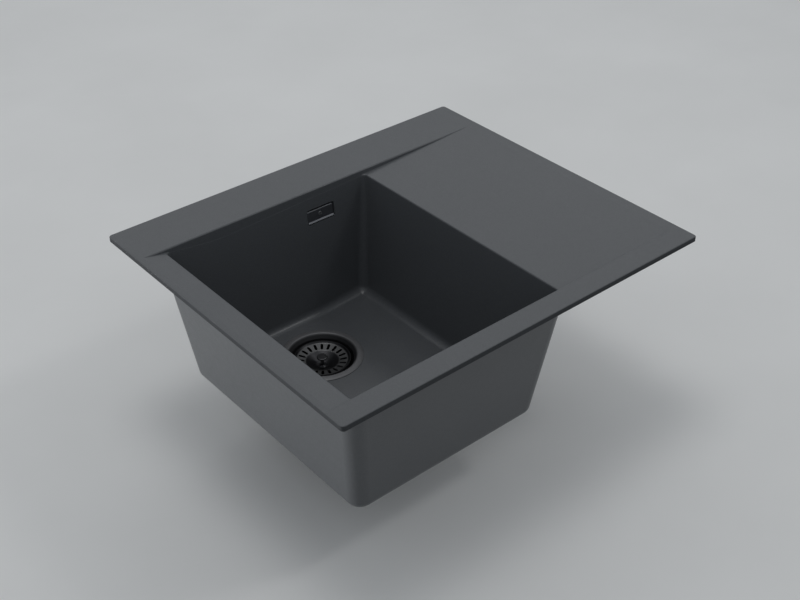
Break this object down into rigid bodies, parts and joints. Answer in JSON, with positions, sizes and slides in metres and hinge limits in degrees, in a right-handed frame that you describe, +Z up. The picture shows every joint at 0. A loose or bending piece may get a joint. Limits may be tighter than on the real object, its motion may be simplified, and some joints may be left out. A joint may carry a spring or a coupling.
{
  "type": "kitchen sink",
  "caption": "Drop-in kitchen sink moulded in dark composite, with a tapered bowl, a plain sloping drainer, an undrilled tap ledge, an overflow and a lift-out basket strainer.",
  "frame": {"origin": "middle of the rim's underside, where the sink rests on the worktop", "axes": "+X to the drainer, +Y to the tap ledge at the back, +Z up"},
  "size_m": [0.58, 0.49, 0.288],
  "materials": {
    "composite": "matte",
    "dark_steel": "satin",
    "bright_steel": "satin",
    "insert_brass": "satin",
    "black_rubber": "matte",
    "black_plastic": "satin",
    "grey_plastic": "satin",
    "cover_steel": "satin"
  },
  "bodies": {
    "sink": {"sink_body": "composite", "strainer_cup": "dark_steel", "flange_seal": "black_rubber", "screw_washer": "bright_steel", "clamp_screw": "bright_steel", "screw_insert": "insert_brass", "waste_seal": "black_rubber", "waste_body": "black_plastic", "overflow_cover": "cover_steel", "overflow_screw": "cover_steel", "overflow_gasket": "black_rubber", "overflow_elbow": "black_plastic", "overflow_pipe": "grey_plastic", "upper_pipe_nut": "black_plastic", "upper_cone_seal": "black_rubber", "lower_pipe_nut": "black_plastic", "lower_cone_seal": "black_rubber"},
    "basket": {"basket_pan": "dark_steel", "lift_knob": "dark_steel", "stopper_body": "black_plastic", "stopper_seal": "black_rubber", "grip_ring": "black_rubber"}
  },
  "joints": [
    {"name": "basket_lift", "type": "slide", "parent": "sink", "child": "basket", "axis": [0, 0, 1], "range_m": [0, 0.24]}
  ]
}
